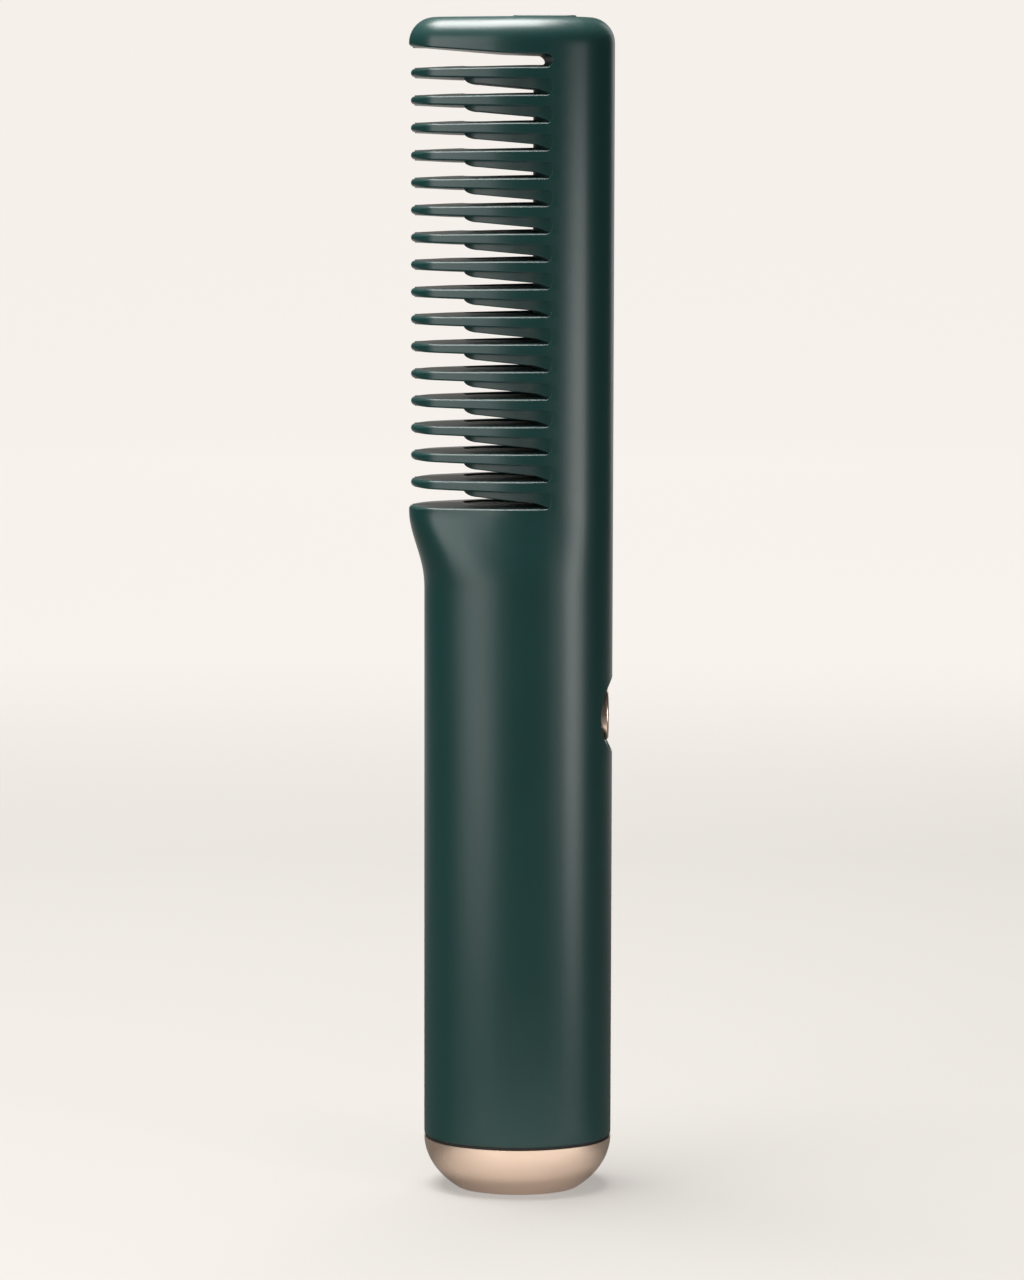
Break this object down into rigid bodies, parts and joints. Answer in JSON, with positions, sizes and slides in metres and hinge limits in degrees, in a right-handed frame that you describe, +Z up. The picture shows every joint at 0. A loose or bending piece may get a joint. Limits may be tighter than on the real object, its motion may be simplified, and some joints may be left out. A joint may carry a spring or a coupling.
{
  "type": "hot comb",
  "caption": "Upright cordless hot comb: oval handle, slotted comb head over a finned heater core, side press key and a domed metal end cap it stands on.",
  "frame": {"origin": "centre of the end cap's flat base, on the handle's axis", "axes": "+Z up along the handle, -X the way the comb teeth point, +X the press key's side, -Y the front"},
  "size_m": [0.0361, 0.025, 0.2083],
  "materials": {
    "shell_green": "satin",
    "champagne": "brushed satin",
    "core_coating": "ceramic coated",
    "black_rubber": "matte",
    "holder_black": "matte",
    "heating_stone": "matte",
    "bare_aluminium": "bright",
    "amber_film": "gloss",
    "spring_steel": "bright",
    "screw_steel": "bright",
    "sensor_glass": "gloss",
    "fuse_white": "matte",
    "carrier_grey": "matte",
    "cell_sleeve": "shrink sleeve",
    "nickel": "bright",
    "foam": "foam",
    "board_green": "solder mask",
    "chip_black": "matte",
    "switch_black": "matte",
    "plunger_white": "matte",
    "socket_steel": "bright",
    "lead_red": "silicone",
    "lead_white": "silicone",
    "lead_black": "silicone"
  },
  "bodies": {
    "handset": {"front_shell": "shell_green", "rear_shell": "shell_green", "top_plug": "shell_green", "top_screw": "screw_steel", "heater_core": "core_coating", "heating_stones": "heating_stone", "electrode_plates": "bare_aluminium", "insulating_film": "amber_film", "heater_clip": "spring_steel", "core_holder": "holder_black", "thermistor": "sensor_glass", "thermal_fuse": "fuse_white", "battery_carrier": "carrier_grey", "battery_cell": "cell_sleeve", "negative_tab": "nickel", "positive_tab": "nickel", "battery_pad": "foam", "main_board": "board_green", "board_parts": "chip_black", "switch_body": "switch_black", "charge_board": "board_green", "usb_shell": "socket_steel", "usb_tongue": "chip_black", "cap_insert": "holder_black", "cap_screws": "screw_steel", "seal_ring": "black_rubber", "end_cap": "champagne", "heater_leads": "lead_red", "sensor_leads": "lead_white", "charge_leads": "lead_black"},
    "button": {"press_key": "champagne", "switch_plunger": "plunger_white"}
  },
  "joints": [
    {"name": "button_press", "type": "slide", "parent": "handset", "child": "button", "axis": [-1, 0, 0], "range_m": [0, 0.0005], "stiffness_N_per_m": 1500}
  ]
}
